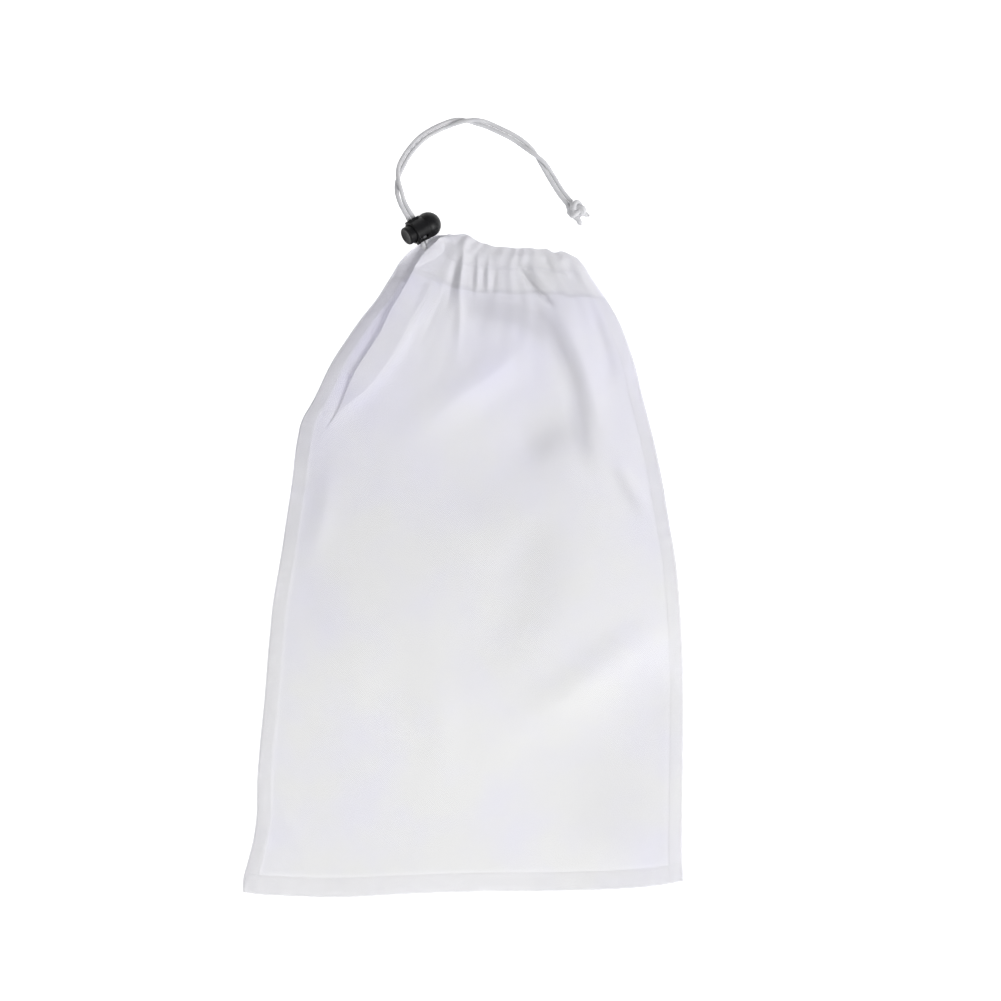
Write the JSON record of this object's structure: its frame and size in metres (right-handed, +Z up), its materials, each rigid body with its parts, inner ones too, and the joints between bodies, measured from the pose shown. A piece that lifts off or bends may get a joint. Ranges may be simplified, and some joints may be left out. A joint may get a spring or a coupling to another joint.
{
  "type": "mesh produce bag",
  "caption": "Fine white mesh drawstring bag, 30 by 45 cm, lying flat with its neck drawn shut by a spring cord lock.",
  "frame": {"origin": "middle of the bounding box of bag and cord lock, on the surface it lies on, without the loose cord tails", "axes": "+X across the bag, +Y from the hem to the mouth, +Z up from the surface, through the back panel to the front panel"},
  "size_m": [0.2986, 0.5255, 0.023],
  "materials": {
    "mesh_cloth": "fine see-through nylon mesh",
    "seam_cloth": "overlocked double mesh",
    "cord": "braided white polyester",
    "thread": "white polyester thread",
    "lock_plastic": "satin black moulded plastic",
    "spring_steel": "drawn spring wire"
  },
  "bodies": {
    "bag": {"front_panel": "mesh_cloth", "back_panel": "mesh_cloth", "left_side_seam": "seam_cloth", "right_side_seam": "seam_cloth", "hem_seam": "seam_cloth", "front_casing": "mesh_cloth", "back_casing": "mesh_cloth", "front_casing_stitching": "thread", "back_casing_stitching": "thread", "drawcord": "cord", "tail_strand_a": "cord", "tail_strand_b": "cord", "tail_knot": "cord", "knot_end_a": "cord", "knot_end_b": "cord"},
    "cord_lock": {"cord_lock_body": "lock_plastic", "cord_lock_spring": "spring_steel"},
    "plunger": {"cord_lock_plunger": "lock_plastic"}
  },
  "joints": [
    {"name": "lock_slide", "type": "slide", "parent": "bag", "child": "cord_lock", "axis": [-0.5, 0.866, 0], "range_m": [0, 0.012]},
    {"name": "plunger_press", "type": "slide", "parent": "cord_lock", "child": "plunger", "axis": [0.7647, 0.4415, -0.4695], "range_m": [0, 0.0045], "stiffness_N_per_m": 350, "springref_m": -0.003, "deforming": ["cord_lock_spring"]}
  ]
}
